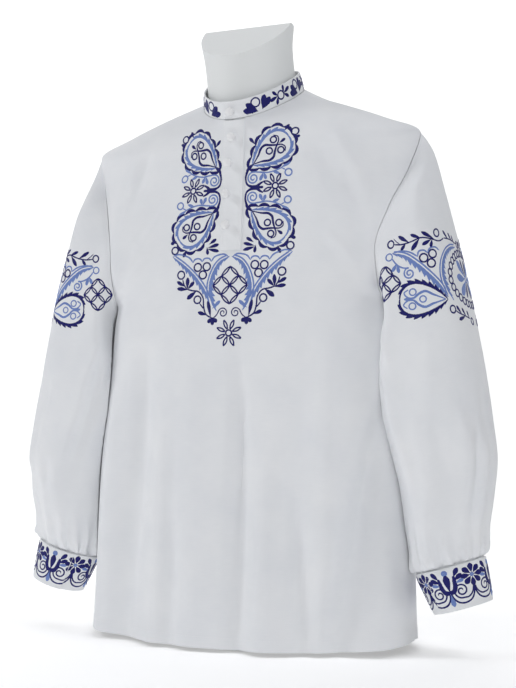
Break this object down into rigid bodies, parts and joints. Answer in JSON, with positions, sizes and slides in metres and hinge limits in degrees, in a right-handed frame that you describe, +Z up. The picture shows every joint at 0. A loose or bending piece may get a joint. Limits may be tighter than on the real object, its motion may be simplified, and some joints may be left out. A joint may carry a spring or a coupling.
{
  "type": "embroidered folk shirt on a limbless dress form",
  "caption": "White cotton pullover shirt with band collar, buttoned half placket and full gathered sleeves, embroidered in blue, worn by a headless, armless dress form",
  "frame": {"origin": "centre of the flat base of the dress form, on the surface that it stands on", "axes": "+Z up, -Y the front of the shirt, +X the wearer's left"},
  "size_m": [0.6824, 0.232, 0.84],
  "materials": {
    "cotton": "plain weave, matt",
    "thread_button": "crocheted thread",
    "form_cover": "matt white"
  },
  "bodies": {
    "root": {"shirt_front": "cotton", "shirt_back": "cotton", "sleeve_right": "cotton", "sleeve_left": "cotton", "collar_band": "cotton", "placket": "cotton", "cuff_right": "cotton", "cuff_left": "cotton", "button_1": "thread_button", "button_2": "thread_button", "button_3": "thread_button", "button_4": "thread_button", "button_5": "thread_button", "dress_form": "form_cover"}
  },
  "joints": []
}
